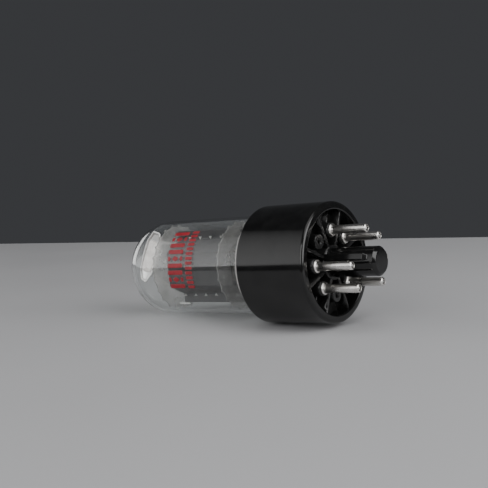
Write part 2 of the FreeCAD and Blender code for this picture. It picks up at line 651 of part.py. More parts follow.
def build():
    """Every sub-part of the tube, by name."""
    leads = make_leads()
    crimps = make_crimps()
    pan, fill = make_getter()
    sleeve, coating = make_cathode()
    rods = [(s * z, r) for s in (-1, 1)
            for z, r in ((ANODE_ROD_Z, ANODE_ROD_R), (SCREEN_ROD_Z, SCREEN_ROD_R),
                         (CONTROL_ROD_Z, CONTROL_ROD_R))]

    PARTS["glass_bulb"] = make_bulb()
    PARTS["base_shell"] = make_base()
    PARTS["base_cement"] = turned([(CEMENT_START_X, BULB_R), (-BASE_LENGTH, BASE_BORE_R),
                                   (CEMENT_END_X, BASE_BORE_R), (CEMENT_END_X, BULB_R)])
    for name, angle in PIN_ANGLES.items():
        PARTS["pin_" + name] = make_pin(angle)
        PARTS["lead_wire_" + name] = leads[name]
    PARTS["pin_solder"] = group([make_solder(angle) for angle in PIN_ANGLES.values()])
    PARTS["glass_stem"] = make_stem(leads)
    PARTS["exhaust_tube"] = make_exhaust_tube()
    PARTS["bottom_mica"] = make_mica(BOTTOM_MICA_X, rods)
    PARTS["top_mica"] = make_mica(TOP_MICA_X, rods)
    PARTS["anode_front"] = make_anode_half(-1, crimps)
    PARTS["anode_rear"] = make_anode_half(1, crimps)
    PARTS["anode_crimps"] = group(crimps)
    PARTS["anode_rods"] = group(rod_pair(ANODE_ROD_Z, ANODE_ROD_R))
    PARTS["beam_plate_upper"] = make_beam_plate(1)
    PARTS["beam_plate_lower"] = make_beam_plate(-1)
    PARTS["screen_grid_rods"] = group(rod_pair(SCREEN_ROD_Z, SCREEN_ROD_R))
    PARTS["screen_grid_wire"] = group(make_grid_winding(SCREEN_ROD_Z, SCREEN_ROD_R, SCREEN_HALF_WIDTH))
    PARTS["control_grid_rods"] = group(rod_pair(CONTROL_ROD_Z, CONTROL_ROD_R))
    PARTS["control_grid_wire"] = group(make_grid_winding(CONTROL_ROD_Z, CONTROL_ROD_R, CONTROL_HALF_WIDTH))
    PARTS["cathode_sleeve"] = sleeve
    PARTS["cathode_coating"] = coating
    PARTS["heater"] = make_heater()
    PARTS["cooling_tabs"] = make_cooling_tabs()
    PARTS.update(make_ties())
    PARTS["getter_pan"] = pan
    PARTS["getter_fill"] = fill
    PARTS["getter_posts"] = make_getter_posts()
    PARTS["printed_mark"] = make_printed_mark()
    PARTS["printed_dash"] = ink_film(*DASH_ENDS_X, DASH_ANGLE - DASH_WIDTH_ANGLE / 2, DASH_WIDTH_ANGLE)


os.makedirs("parts", exist_ok=True)
build()
for node, shape in PARTS.items():
    shape.exportStep("parts/" + node + ".step")
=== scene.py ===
import math

import bpy
import numpy as np
from mathutils import Matrix, Vector


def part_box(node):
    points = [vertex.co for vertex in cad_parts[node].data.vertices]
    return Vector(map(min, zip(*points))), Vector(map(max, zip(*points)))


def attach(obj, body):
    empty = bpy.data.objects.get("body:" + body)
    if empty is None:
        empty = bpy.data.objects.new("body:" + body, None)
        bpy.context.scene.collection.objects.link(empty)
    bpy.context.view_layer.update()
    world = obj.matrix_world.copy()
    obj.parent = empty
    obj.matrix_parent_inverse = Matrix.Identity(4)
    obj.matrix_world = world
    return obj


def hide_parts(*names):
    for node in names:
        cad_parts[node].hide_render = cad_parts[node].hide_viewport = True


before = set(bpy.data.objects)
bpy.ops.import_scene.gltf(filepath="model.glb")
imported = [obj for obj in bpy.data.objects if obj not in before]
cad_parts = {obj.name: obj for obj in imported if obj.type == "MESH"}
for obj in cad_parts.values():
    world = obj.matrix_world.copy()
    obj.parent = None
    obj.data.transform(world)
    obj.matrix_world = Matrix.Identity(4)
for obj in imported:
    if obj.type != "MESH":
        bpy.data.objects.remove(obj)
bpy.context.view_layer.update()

# An octal vacuum tube lying on its side. The axis is X: the dome is towards -X, the pins towards +X,
# and the base rim is the plane x = 0. Lengths in this file are millimetres; MM turns them into metres.
MM = 0.001


def span(node):
    """Lowest and highest corner of a CAD node, in millimetres."""
    low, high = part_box(node)
    return np.array(low) / MM, np.array(high) / MM


bulb_low, bulb_high = span("glass_bulb")
base_low, base_high = span("base_shell")
pin_low, pin_high = span("pin_4")
anode_low, anode_high = span("anode_front")
dash_low, dash_high = span("printed_dash")
cement_low, cement_high = span("base_cement")
print_low, print_high = span("printed_mark")
bottom_mica_low, bottom_mica_high = span("bottom_mica")
top_mica_low, top_mica_high = span("top_mica")

# Driving sizes of the bulb
BULB_R = bulb_high[1]
BULB_WALL = 0.75
DOME_TIP = bulb_low[0]
DOME_CROWN_R = 14.5
DOME_SHOULDER_R = 9.0
BULB_TUCK = -15.6
BULB_SEAL = bulb_high[0]
BULB_SEAL_R = 11.6

# The print: angles round the bulb in degrees, from +Y towards +Z
INK = 0.03
PRINT_TOP_ANGLE = 127
PRINT_FOOT_ANGLE = 201
TALL_BLOCKS = 9
TALL_ROW_END = -43.0
TALL_HALF = 0.62
DIAMOND_LONG = 1.35
DIAMOND_WIDE = 0.85
SHORT_BLOCKS = 13
SHORT_ROW_START = -41.9
SHORT_HALF = 0.44
# The white dash is a painted highlight: a white film on the glass standing in for a small reflected
# glint.
DASH_ANGLE = 223
DASH_HALF = 0.34

# The base, its recess and the spigot with its key
BASE_R = base_high[1]
BASE_END = base_low[0]
BASE_BORE_R = 14.3
RIM_BORE_R = 14.2
RECESS_FLOOR = -4.6
RECESS_SLAB_TOP = RECESS_FLOOR - 0.15
RECESS_SLAB_UNDER = -6.2
BOSS_R = 2.15
BOSS_TOP = -0.9
HUB_R = 4.8
HUB_TOP = -0.7
RIB_HALF = 0.55
RIB_TOP = -1.0
EMPTY_HOLE_R = 0.8
SPIGOT_R = 3.95
SPIGOT_TIP = base_high[0]
SPIGOT_BORE_R = 2.7
SPIGOT_END = 12.2
SPIGOT_CHAMFER = 0.75
KEY_ANGLE = 157.5
KEY_ROOT_R = 2.8
KEY_R = 5.0
KEY_HALF = 0.9
KEY_SLOPE = 10.45
KEY_TIP = 11.5

# The pins: angles in degrees from +Y towards +Z
PIN_CIRCLE_R = (pin_low[1] + pin_high[1]) / 2
PIN_ANGLES = {"2": 90, "3": 45, "4": 0, "5": -45, "7": -135, "8": 180}
EMPTY_ANGLES = (135, -90)
PIN_R = 1.18
PIN_BORE_R = 0.72
PIN_TIP = pin_high[0]
PIN_INNER = pin_low[0]
COLLAR_R = 1.8
COLLAR_TOP = -0.3
TIP_SHRINK = 0.018
TIP_SHRINK_LENGTH = 3.2
SOLDER_LENGTH = 2.4
SOLDER_DISH = 1.3

# The mica spacers and the anode
MICA_R = 12.3
MICA_TOOTH = 0.6
MICA_TEETH = 24
FLANGE_Z = anode_high[2]
FLANGE_ROOT_Z = 8.0
STEP_Y = 1.0
FACE_Z = 5.0
FACE_Y = 6.0
STEP_LEAN = 0.3
SHEET = 0.25

# The getter pan: its middle, its long direction, the way its face looks, and its sizes
PAN_CENTRE = np.array([-64.5, -4.2, 3.85])
PAN_LONG = np.array([0.34, 0.18, 0.92])
PAN_FACE = np.array([0.35, -0.93, -0.06])
PAN_LENGTH = 15.8
PAN_WIDTH = 4.9
PAN_END_WIDTH = 2.6
PAN_TAPER = 3.4
PAN_DEPTH = 1.1
FILL_LENGTH = 9.6

# Camera, in millimetres and degrees
CAMERA_PLACE = np.array([129.7, -203.8, 22.2])
CAMERA_AIM = np.array([-30.85, 0.0, 6.06])
CAMERA_ROLL = -5.58
CAMERA_LENS = 66.76

# Edges of the studio floor, in metres from the point where the base touches it
STUDIO_LEFT, STUDIO_RIGHT = -1.2, 0.6
STUDIO_NEAR, STUDIO_FAR = -0.128, 0.42


# ---------------------------------------------------------------- surfaces

def signed_volume(points, faces):
    """Volume inside a closed mesh: a sixth of the sum of the triple products of a fan in each face."""
    total = 0.0
    for k in range(1, faces.shape[1] - 1):
        a = points[faces[:, 0]]
        b = points[faces[:, k]]
        c = points[faces[:, k + 1]]
        total += float(np.einsum("ij,ij->i", a, np.cross(b, c)).sum()) / 6
    return total


def add_piece(name, points, face_sets, material, replaced=(), smooth=True):
    """One closed mesh in millimetres, made into a piece that rides on the tube. Its faces are
    reversed where its signed volume is negative, so that they point outwards."""
    points = np.asarray(points, float) * MM
    face_sets = [np.asarray(f, np.int32) for f in face_sets if len(f)]
    if sum(signed_volume(points, f) for f in face_sets) < 0:
        face_sets = [f[:, ::-1] for f in face_sets]
    sizes = np.concatenate([np.full(len(f), f.shape[1], np.int32) for f in face_sets])
    corners = np.concatenate([f.ravel() for f in face_sets])
    mesh = bpy.data.meshes.new(name)
    mesh.vertices.add(len(points))
    mesh.vertices.foreach_set("co", points.ravel())
    mesh.loops.add(len(corners))
    mesh.loops.foreach_set("vertex_index", corners)
    mesh.polygons.add(len(sizes))
    starts = np.concatenate([[0], np.cumsum(sizes)[:-1]]).astype(np.int32)
    mesh.polygons.foreach_set("loop_start", starts)
    mesh.polygons.foreach_set("loop_total", sizes)
    mesh.update(calc_edges=True)
    mesh.validate()
    mesh.polygons.foreach_set("use_smooth", np.full(len(mesh.polygons), smooth))
    mesh.materials.append(material)
    piece = bpy.data.objects.new(name, mesh)
    bpy.context.scene.collection.objects.link(piece)
    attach(piece, "root")
    if replaced:
        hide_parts(*replaced)


def grid_faces(rows, columns, close_rows=False, close_columns=True):
    """Quads over a grid of rows by columns, joined round in either direction where asked."""
    i = np.arange(rows if close_rows else rows - 1)
    j = np.arange(columns if close_columns else columns - 1)
    i, j = np.meshgrid(i, j, indexing="ij")
    i, j = i.ravel(), j.ravel()
    up = (i + 1) % rows
    along = (j + 1) % columns
    return np.stack([i * columns + j, i * columns + along, up * columns + along, up * columns + j], 1)


def end_faces(rings, n):
    """The two flat ends of a tube of rings with n points each, facing away from each other."""
    return np.array([np.arange(n)[::-1], (rings - 1) * n + np.arange(n)])


def turned(profile, segments=128, closed=False):
    """A surface of revolution: the profile's (x, r) carried round X, so P = (x, r cos t, r sin t).
    Where an open profile starts or ends on the axis its ring is one point."""
    profile = np.asarray(profile, float)
    t = np.arange(segments) * 2 * math.pi / segments
    body = profile if closed else profile[1:-1]
    x = np.repeat(body[:, :1], segments, 1)
    y = body[:, 1:] * np.cos(t)
    z = body[:, 1:] * np.sin(t)
    points = np.stack([x, y, z], 2).reshape(-1, 3)
    quads = grid_faces(len(body), segments, close_rows=closed)
    if closed:
        return points, [quads]
    first, last = len(points), len(points) + 1
    points = np.vstack([points, [profile[0, 0], 0, 0], [profile[-1, 0], 0, 0]])
    j = np.arange(segments)
    nxt = (j + 1) % segments
    end = (len(body) - 1) * segments
    start_fan = np.stack([np.full(segments, first), nxt, j], 1)
    end_fan = np.stack([np.full(segments, last), end + j, end + nxt], 1)
    return points, [quads, start_fan, end_fan]


def spaced(a, b, longest):
    """Points from a to b, closer together near both ends: a + (b - a)(1 - cos(pi k / n)) / 2."""
    a, b = np.asarray(a, float), np.asarray(b, float)
    n = max(2, int(math.ceil(np.linalg.norm(b - a) / longest)))
    f = (1 - np.cos(np.pi * np.arange(n + 1) / n)) / 2
    return a + (b - a) * f[:, None]


def rounded(corners, closed=True, steps=7, longest=1.5):
    """An outline through (u, v, radius) corners: each corner is a tangent arc of that radius,
    and the straight runs between them are divided by the spaced rule."""
    corners = [np.array(c, float) for c in corners]
    count = len(corners)
    arcs = []
    for k, corner in enumerate(corners):
        here, radius = corner[:2], corner[2]
        if radius <= 0 or (not closed and k in (0, count - 1)):
            arcs.append(here[None])
            continue
        back = corners[k - 1][:2] - here
        ahead = corners[(k + 1) % count][:2] - here
        back /= np.linalg.norm(back)
        ahead /= np.linalg.norm(ahead)
        half = math.acos(np.clip(np.dot(back, ahead), -1, 1)) / 2
        centre = here + (back + ahead) / np.linalg.norm(back + ahead) * radius / math.sin(half)
        start = here + back * radius / math.tan(half) - centre
        end = here + ahead * radius / math.tan(half) - centre
        swing = math.acos(np.clip(np.dot(start, end) / radius ** 2, -1, 1))
        f = np.linspace(0, 1, steps + 1)[:, None]
        turn = np.sin((1 - f) * swing) * start + np.sin(f * swing) * end
        arcs.append(centre + turn / math.sin(swing))
    pieces = []
    for k in range(count if closed else count - 1):
        pieces.append(arcs[k])
        a, b = arcs[k][-1], arcs[(k + 1) % count][0]
        if np.linalg.norm(b - a) > 1e-6:
            pieces.append(spaced(a, b, longest)[1:-1])
    if not closed:
        pieces.append(arcs[-1])
    return np.vstack([p for p in pieces if len(p)])


def at_angle(points, degrees, radius=0.0):
    """Points moved out to a radius along +Y and then turned about X, from +Y towards +Z."""
    t = math.radians(degrees)
    y = points[:, 1] + radius
    z = points[:, 2]
    turned_y = y * math.cos(t) - z * math.sin(t)
    turned_z = y * math.sin(t) + z * math.cos(t)
    return np.stack([points[:, 0], turned_y, turned_z], 1)


def joined(meshes):
    """Several (points, face sets) as one: each later mesh's indices start after the earlier points."""
    points = []
    sets = []
    base = 0
    for p, face_sets in meshes:
        points.append(p)
        sets += [np.asarray(f) + base for f in face_sets]
        base += len(p)
    return np.vstack(points), sets


def swept_section(section, x0, x1):
    """A closed (y, z) section carried along X from x0 to x1, with both ends closed by flat faces."""
    stations = spaced([x0], [x1], 1.2)[:, 0]
    n = len(section)
    x = np.repeat(stations, n)
    yz = np.tile(section, (len(stations), 1))
    points = np.column_stack([x, yz])
    return points, [grid_faces(len(stations), n), end_faces(len(stations), n)]


def smoothstep(value):
    """3 v^2 - 2 v^3 between 0 and 1."""
    v = np.clip(value, 0, 1)
    return v * v * (3 - 2 * v)


# ---------------------------------------------------------------- materials

class Finish:
    """A node material: one Principled shader, and short calls that add the nodes feeding it."""

    def __init__(self, name, colour, roughness, metallic=0.0, **sockets):
        self.material = bpy.data.materials.new(name)
        self.material.use_nodes = True
        self.nodes = self.material.node_tree.nodes
        self.links = self.material.node_tree.links
        self.shader = self.nodes["Principled BSDF"]
        self.set("Base Color", (*colour, 1))
        self.set("Roughness", roughness)
        self.set("Metallic", metallic)
        for key, value in sockets.items():
            self.set(key.replace("_", " ").title().replace("Ior", "IOR"), value)
        self.where = self.nodes.new("ShaderNodeTexCoord").outputs["Object"]

    def set(self, socket, value):
        """A constant on one of the shader's sockets."""
        self.shader.inputs[socket].default_value = value

    def add(self, kind, **inputs):
        """A new node, with its named inputs fed."""
        node = self.nodes.new(kind)
        for key, value in inputs.items():
            self.feed(node.inputs[key.replace("_", " ").title()], value)
        return node

    def feed(self, socket, value):
        """A link or a constant into any socket."""
        if isinstance(value, bpy.types.NodeSocket):
            self.links.new(value, socket)
        else:
            socket.default_value = value

    def stretched(self, scale):
        """Object coordinates scaled along each axis."""
        node = self.add("ShaderNodeMapping", vector=self.where)
        node.inputs["Scale"].default_value = scale
        return node.outputs[0]

    def noise(self, scale, detail=4.0, roughness=0.55, where=None):
        """Noise with a number of features to the metre."""
        node = self.add("ShaderNodeTexNoise", vector=where or self.where)
        node.inputs["Scale"].default_value = scale
        node.inputs["Detail"].default_value = detail
        node.inputs["Roughness"].default_value = roughness
        return node.outputs[0]

    def ramp(self, value, stops):
        """A colour ramp: stops are (position, grey or colour)."""
        node = self.nodes.new("ShaderNodeValToRGB")
        elements = node.color_ramp.elements
        while len(elements) < len(stops):
            elements.new(0.5)
        for element, (position, colour) in zip(elements, stops):
            colour = (colour,) * 3 if isinstance(colour, (int, float)) else colour
            element.position = position
            element.color = (*colour, 1)
        self.feed(node.inputs[0], value)
        return node.outputs[0]

    def range(self, value, low, high, start=0.3, end=0.7):
        """The value from start to end, mapped to low to high."""
        node = self.nodes.new("ShaderNodeMapRange")
        self.feed(node.inputs[0], value)
        for index, number in enumerate((start, end, low, high), 1):
            node.inputs[index].default_value = number
        return node.outputs[0]

    def math(self, operation, a, b):
        """One sum or product of two values."""
        node = self.nodes.new("ShaderNodeMath")
        node.operation = operation
        self.feed(node.inputs[0], a)
        self.feed(node.inputs[1], b)
        return node.outputs[0]

    def bump(self, height, distance, strength=1.0, under=None):
        """Bump of a real depth in metres."""
        node = self.nodes.new("ShaderNodeBump")
        node.inputs["Strength"].default_value = strength
        node.inputs["Distance"].default_value = distance
        self.feed(node.inputs["Height"], height)
        if under is not None:
            self.feed(node.inputs["Normal"], under)
        return node.outputs[0]

    def drive(self, socket, value):
        """A pattern into one of the shader's sockets."""
        self.links.new(value, self.shader.inputs[socket])


def clear_to_lamps(finish, tint):
    """Glass that lets lamp light through to what it covers: transparent for shadow rays only."""
    output = finish.nodes["Material Output"]
    path = finish.nodes.new("ShaderNodeLightPath")
    clear = finish.nodes.new("ShaderNodeBsdfTransparent")
    clear.inputs[0].default_value = (*tint, 1)
    mix = finish.nodes.new("ShaderNodeMixShader")
    finish.links.new(path.outputs["Is Shadow Ray"], mix.inputs[0])
    finish.links.new(finish.shader.outputs[0], mix.inputs[1])
    finish.links.new(clear.outputs[0], mix.inputs[2])
    finish.links.new(mix.outputs[0], output.inputs["Surface"])


def bulb_glass():
    """Thin blown glass: clear, a little wavy, with a trace of dust in its gloss."""
    f = Finish("bulb_glass", (0.97, 0.985, 0.98), 0.0, ior=1.47, transmission_weight=1.0)
    wave = f.noise(90, 2)
    f.drive("Normal", f.bump(wave, 0.00002, 0.5))
    f.drive("Roughness", f.range(f.noise(700, 5), 0.0, 0.035, 0.45, 0.8))
    clear_to_lamps(f, (0.93, 0.94, 0.94))
    return f.material


def stem_glass():
    """Thicker lead glass with streaks along the axis."""
    f = Finish("stem_glass", (0.86, 0.90, 0.89), 0.03, ior=1.54, transmission_weight=1.0)
    f.drive("Normal", f.bump(f.noise(60, 3, where=f.stretched((1, 5, 5))), 0.00006, 0.6))
    clear_to_lamps(f, (0.80, 0.84, 0.83))
    return f.material


def black_phenolic(name, grey):
    """Moulded black phenolic: deep gloss with faint flow marks, fine pitting and handling dust."""
    f = Finish(name, (grey, grey, grey), 0.12, ior=1.46)
    flow = f.noise(45, 4, where=f.stretched((0.5, 1, 1)))
    dust = f.ramp(f.noise(1500, 2, 0.7), [(0.66, 0.0), (0.80, 1.0)])
    f.drive("Roughness", f.math("ADD", f.range(flow, 0.09, 0.15), f.math("MULTIPLY", dust, 0.10)))
    f.drive("Base Color", f.ramp(f.noise(300, 6), [(0.35, grey * 0.7), (0.8, grey * 1.5)]))
    f.drive("Normal", f.bump(f.noise(2600, 3), 0.000003, 0.25, f.bump(flow, 0.00001, 0.2)))
    return f.material


def nickel_plate():
    """Drawn and plated pins: faint draw lines along the pin and softly cloudy duller patches."""
    f = Finish("nickel_plate", (0.74, 0.72, 0.69), 0.35, 1.0)
    lines = f.noise(900, 3, where=f.stretched((0.04, 1, 1)))
    cloud = f.noise(380, 4)
    f.drive("Base Color", f.ramp(cloud, [(0.28, (0.66, 0.64, 0.60)), (0.52, (0.78, 0.76, 0.73)),
                                         (0.75, (0.86, 0.85, 0.82))]))
    f.drive("Roughness", f.math("ADD", f.range(cloud, 0.33, 0.21), f.range(lines, 0.0, 0.06)))
    f.drive("Normal", f.bump(f.noise(2400, 2), 0.000003, 0.3, f.bump(lines, 0.000006, 0.4)))
    return f.material


def dull_solder():
    """Tin and lead solder: grey, softly frosted, with a lumpy skin."""
    f = Finish("dull_solder", (0.56, 0.56, 0.55), 0.42, 0.9)
    lumps = f.noise(900, 4)
    f.drive("Roughness", f.range(lumps, 0.30, 0.55))
    f.drive("Base Color", f.ramp(f.noise(1500, 3), [(0.3, 0.42), (0.7, 0.62)]))
    f.drive("Normal", f.bump(lumps, 0.00008, 0.7))
    return f.material


def mica_sheet():
    """Split mica: a thin silvery satin sheet, mostly clear, clouded by its layers."""
    f = Finish("mica_sheet", (0.80, 0.79, 0.77), 0.3, ior=1.5, transmission_weight=0.9)
    cloud = f.noise(160, 5)
    f.drive("Base Color", f.ramp(cloud, [(0.3, (0.60, 0.59, 0.57)), (0.7, (0.78, 0.77, 0.76))]))
    f.drive("Roughness", f.range(cloud, 0.14, 0.30))
    f.drive("Normal", f.bump(f.noise(900, 4), 0.000004, 0.4))
    clear_to_lamps(f, (0.70, 0.69, 0.66))
    return f.material


def carbon_grey(base=0.045):
    """Carbonised nickel sheet: soft dark grey, very fine grained and softly clouded."""
    f = Finish("carbon_grey", (base, base, base * 1.03), 0.42, 0.15)
    cloud = f.noise(160, 6)
    grain = f.noise(3200, 3)
    f.drive("Base Color", f.ramp(cloud, [(0.3, (base * 0.8, base * 0.8, base * 0.83)),
                                         (0.7, (base * 1.25, base * 1.25, base * 1.28))]))
    f.drive("Roughness", f.range(f.noise(500, 4), 0.34, 0.52))
    f.drive("Normal", f.bump(grain, 0.000008, 0.5))
    return f.material


def plain_nickel(name, colour, roughness=0.3):
    """Bright drawn or pressed metal inside the bulb."""
    f = Finish(name, colour, roughness, 1.0)
    lines = f.noise(1500, 4, where=f.stretched((0.1, 1, 1)))
    dark = tuple(c * 0.75 for c in colour)
    f.drive("Base Color", f.ramp(f.noise(600, 4), [(0.35, dark), (0.65, colour)]))
    f.drive("Roughness", f.range(lines, roughness - 0.08, roughness + 0.14))
    f.drive("Normal", f.bump(lines, 0.00001, 0.4))
    return f.material


def powder(name, dark, light):
    """A pressed or sprayed powder: matte and finely grained."""
    f = Finish(name, light, 0.9)
    grain = f.noise(2200, 5, 0.65)
    f.drive("Base Color", f.ramp(f.noise(700, 5), [(0.3, dark), (0.7, light)]))
    f.drive("Roughness", f.range(grain, 0.75, 0.98))
    f.drive("Normal", f.bump(grain, 0.00003, 0.8))
    return f.material


def enamel(name, worn, full):
    """Fired ink: slightly worn, with pinholes where it has rubbed thin."""
    f = Finish(name, full, 0.38)
    wear = f.noise(1100, 5, 0.7)
    f.drive("Base Color", f.ramp(wear, [(0.32, worn), (0.6, full)]))
    f.drive("Roughness", f.range(wear, 0.3, 0.55))
    f.drive("Normal", f.bump(f.noise(2000, 3), 0.00001, 0.5))
    return f.material


def cement_resin():
    """Hardened base cement: pale grey and shiny where it was wiped."""
    f = Finish("cement_resin", (0.40, 0.39, 0.38), 0.2)
    grain = f.noise(1400, 5)
    f.drive("Base Color", f.ramp(grain, [(0.35, (0.32, 0.31, 0.30)), (0.7, (0.50, 0.49, 0.48))]))
    f.drive("Roughness", f.range(grain, 0.14, 0.30))
    f.drive("Normal", f.bump(grain, 0.00002, 0.3))
    return f.material


# ---------------------------------------------------------------- bulb and print

def dome(tip, tube_r, shoulder_r, crown_r, steps=28):
    """The dome's (x, r) from the straight tube to the tip: a shoulder arc, then a crown arc tangent
    to it. The tangent point is at the angle whose sides are the two centres' offsets."""
    rise = tube_r - shoulder_r
    run = math.sqrt((crown_r - shoulder_r) ** 2 - rise ** 2)
    crown_x = tip + crown_r
    shoulder_x = crown_x - run
    tangent = math.atan2(rise, run)
    a = np.linspace(math.pi / 2, tangent, steps)
    b = np.linspace(tangent, 0, steps)[1:]
    side = np.column_stack([shoulder_x - shoulder_r * np.cos(a), rise + shoulder_r * np.sin(a)])
    top = np.column_stack([crown_x - crown_r * np.cos(b), crown_r * np.sin(b)])
    top[-1, 1] = 0
    return np.vstack([side, top])


def make_bulb():
    """The bulb's shell: inner skin from its tip to the seal, then the outer skin back to the tip."""
    wall_r = BULB_R - BULB_WALL
    inner = dome(DOME_TIP + BULB_WALL, wall_r, DOME_SHOULDER_R - BULB_WALL, DOME_CROWN_R - BULB_WALL)
    outer = dome(DOME_TIP, BULB_R, DOME_SHOULDER_R, DOME_CROWN_R)
    end = rounded([
        (inner[0][0], wall_r, 0), (BULB_TUCK, wall_r, 3), (BULB_SEAL, BULB_SEAL_R - BULB_WALL, 0),
        (BULB_SEAL, BULB_SEAL_R, 0), (BULB_TUCK, BULB_R, 4), (outer[0][0], BULB_R, 0)],
        closed=False, longest=2)
    profile = np.vstack([inner[::-1], end[1:-1], outer])
    points, faces = turned(profile, 160)
    add_piece("bulb", points, faces, bulb_glass(), ["glass_bulb"])


def on_glass(outline):
    """A flat (along, around) outline in millimetres, wrapped on the bulb as a thin closed film.
    Angle = around / radius, and the outline is filled towards its own middle in rings."""
    outline = np.asarray(outline, float)
    centre = outline.mean(0)
    rings = np.linspace(1, 0.0, 5)[:-1]
    flat = np.vstack([centre + (outline - centre) * s for s in rings] + [centre[None]])
    n = len(outline)
    skins = []
    for radius in (BULB_R + INK, BULB_R - 0.002):
        t = flat[:, 1] / BULB_R
        skins.append(np.column_stack([flat[:, 0], radius * np.cos(t), radius * np.sin(t)]))
    points = np.vstack(skins)
    half = len(flat)
    top = grid_faces(len(rings), n)
    j = np.arange(n)
    nxt = (j + 1) % n
    last = (len(rings) - 1) * n
    fan = np.stack([last + j, last + nxt, np.full(n, half - 1)], 1)
    wall = np.stack([half + j, half + nxt, nxt, j], 1)
    return points, [top, fan, top[:, ::-1] + half, fan[:, ::-1] + half, wall]


def bar_outline(x0, x1, a0, a1, radius=0.35):
    """A rectangle with rounded corners, from x0 to x1 along and a0 to a1 round."""
    corners = [(x0, a0, radius), (x1, a0, radius), (x1, a1, radius), (x0, a1, radius)]
    return rounded(corners, longest=0.6)


def make_print():
    """Two rows of plain blocks, every third of the tall ones a diamond between two short bars,
    and one white dash lower down, a painted highlight standing in for a small reflected glint.
    Block k of n is centred (k + 1/2) / n of the way round its row."""
    start = math.radians(PRINT_TOP_ANGLE) * BULB_R
    end = math.radians(PRINT_FOOT_ANGLE) * BULB_R
    x0, x1 = print_low[0], TALL_ROW_END
    middle_x = (x0 + x1) / 2
    films = []
    step = (end - start) / TALL_BLOCKS
    for k in range(TALL_BLOCKS):
        a = start + (k + 0.5) * step
        if k % 3 == 1:
            diamond = [(middle_x - DIAMOND_LONG, a, 0.2), (middle_x, a - DIAMOND_WIDE, 0.2),
                       (middle_x + DIAMOND_LONG, a, 0.2), (middle_x, a + DIAMOND_WIDE, 0.2)]
            films.append(on_glass(rounded(diamond, longest=0.5)))
            films.append(on_glass(bar_outline(x0, x0 + 1.0, a - TALL_HALF, a + TALL_HALF, 0.25)))
            films.append(on_glass(bar_outline(x1 - 1.0, x1, a - TALL_HALF, a + TALL_HALF, 0.25)))
        else:
            films.append(on_glass(bar_outline(x0, x1, a - TALL_HALF, a + TALL_HALF)))
    step = (end - start) / SHORT_BLOCKS
    for k in range(SHORT_BLOCKS):
        a = start + (k + 0.5) * step
        bar = bar_outline(SHORT_ROW_START, print_high[0], a - SHORT_HALF, a + SHORT_HALF, 0.25)
        films.append(on_glass(bar))
    points, faces = joined(films)
    red = enamel("red_enamel", (0.20, 0.008, 0.014), (0.36, 0.015, 0.026))
    add_piece("printed_blocks", points, faces, red, ["printed_mark"])
    # The dash: a white film on the glass, a painted highlight standing in for a small reflected glint.
    a = math.radians(DASH_ANGLE) * BULB_R
    dash = bar_outline(dash_low[0], dash_high[0], a - DASH_HALF, a + DASH_HALF, 0.3)
    points, faces = on_glass(dash)
    white = enamel("white_painted_glint", (0.62, 0.62, 0.60), (0.82, 0.82, 0.80))
    add_piece("painted_glint_dash", points, faces, white, ["printed_dash"])


# ---------------------------------------------------------------- base

def make_base_body():
    """The turned part of the moulding: skirt, rim, floor slab and hollow spigot in one outline."""
    profile = rounded([
        (SPIGOT_END, 0, 0), (SPIGOT_END, SPIGOT_BORE_R, 0.4),
        (RECESS_SLAB_UNDER, SPIGOT_BORE_R, 0.3), (RECESS_SLAB_UNDER, BASE_BORE_R, 0.6),
        (BASE_END, BASE_BORE_R, 0.3), (BASE_END, BASE_R, 0.6),
        (0, BASE_R, 0.95), (0, RIM_BORE_R, 0.35), (RECESS_SLAB_TOP, RIM_BORE_R, 0.15),
        (RECESS_SLAB_TOP, SPIGOT_R, 0.15), (SPIGOT_TIP - SPIGOT_CHAMFER, SPIGOT_R, 0.2),
        (SPIGOT_TIP, SPIGOT_R - SPIGOT_CHAMFER, 0.2), (SPIGOT_TIP, 0, 0)], closed=False, longest=1.0)
    points, faces = turned(profile, 192)
    add_piece("base_moulding", points, faces, phenolic, ["base_shell"])


def recess_height(y, z):
    """Height of the recess floor at (y, z): the highest of the bosses, the hub and the ribs,
    each a plateau whose edge is a smoothstep of the distance inside its outline."""
    def plateau(inside, top, draft=0.28):
        return RECESS_FLOOR + (top - RECESS_FLOOR) * smoothstep(inside / draft)

    r = np.hypot(y, z)
    height = plateau(HUB_R + 0.1 - r, HUB_TOP)
    for k in range(8):
        t = math.radians(45 * k)
        away = np.hypot(y - PIN_CIRCLE_R * math.cos(t), z - PIN_CIRCLE_R * math.sin(t))
        height = np.maximum(height, plateau(BOSS_R + 0.1 - away, BOSS_TOP))
        t = math.radians(45 * k + 22.5)
        side = np.abs(-y * math.sin(t) + z * math.cos(t))
        ahead = y * math.cos(t) + z * math.sin(t) > 0
        height = np.maximum(height, plateau(np.where(ahead, RIB_HALF + 0.08 - side, -1.0), RIB_TOP))
    for angle in EMPTY_ANGLES:
        t = math.radians(angle)
        away = np.hypot(y - PIN_CIRCLE_R * math.cos(t), z - PIN_CIRCLE_R * math.sin(t))
        height -= (height - RECESS_FLOOR) * smoothstep((EMPTY_HOLE_R + 0.06 - away) / 0.12)
    return height


def make_base_recess():
    """The relief on the recess floor as a height over a polar grid, closed below by a flat skin."""
    segments, rings = 640, 110
    t = np.arange(segments) * 2 * math.pi / segments
    r = np.linspace(SPIGOT_R - 0.1, RIM_BORE_R + 0.1, rings)
    y = r[:, None] * np.cos(t)
    z = r[:, None] * np.sin(t)
    top = np.stack([recess_height(y, z), y, z], 2)
    low = RECESS_FLOOR - 0.3
    under = [np.column_stack([np.full(segments, low), ring * np.cos(t), ring * np.sin(t)])
             for ring in (r[-1], r[0])]
    points = np.vstack([top.reshape(-1, 3)] + under)
    faces = [grid_faces(rings + 2, segments, close_rows=True)]
    # The recess is coloured with the lighter copy of the phenolic, painted light on the shaded recess
    # floor.
    add_piece("base_recess", points, faces, recess_phenolic_painted_light)


